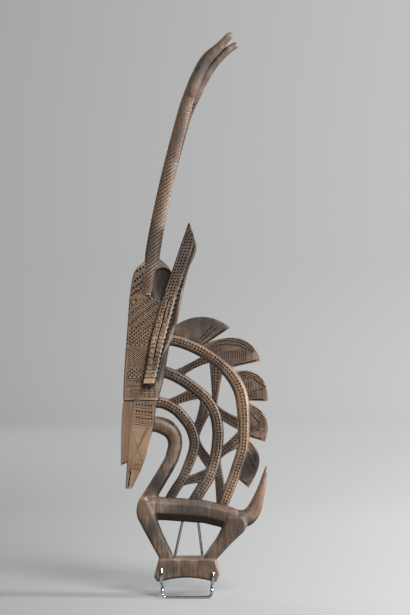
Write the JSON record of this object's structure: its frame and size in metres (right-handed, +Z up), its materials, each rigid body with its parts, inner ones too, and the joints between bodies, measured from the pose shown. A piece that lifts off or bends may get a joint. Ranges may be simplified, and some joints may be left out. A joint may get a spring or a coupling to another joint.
{
  "type": "chiwara headdress",
  "caption": "Carved wooden antelope with tall ribbed horns, long ears and a pierced arching mane, upright in a bent wire stand.",
  "frame": {"origin": "on the floor, under the middle of the whole object's outline", "axes": "+Z up to the horn tips, -X the way the animal faces, -Y the side that the picture shows"},
  "size_m": [0.2538, 0.1124, 0.9716],
  "materials": {
    "carved_wood": "hard dark wood with an old hand-rubbed patina, grey-brown and worn lighter on muzzle, neck, chest, tail and legs, dark in the cuts",
    "chrome_wire": "bright chromed steel wire, lightly dulled by handling"
  },
  "bodies": {
    "root": {"headdress": "carved_wood", "cradle_wire": "chrome_wire", "leg_wire": "chrome_wire"}
  },
  "joints": []
}
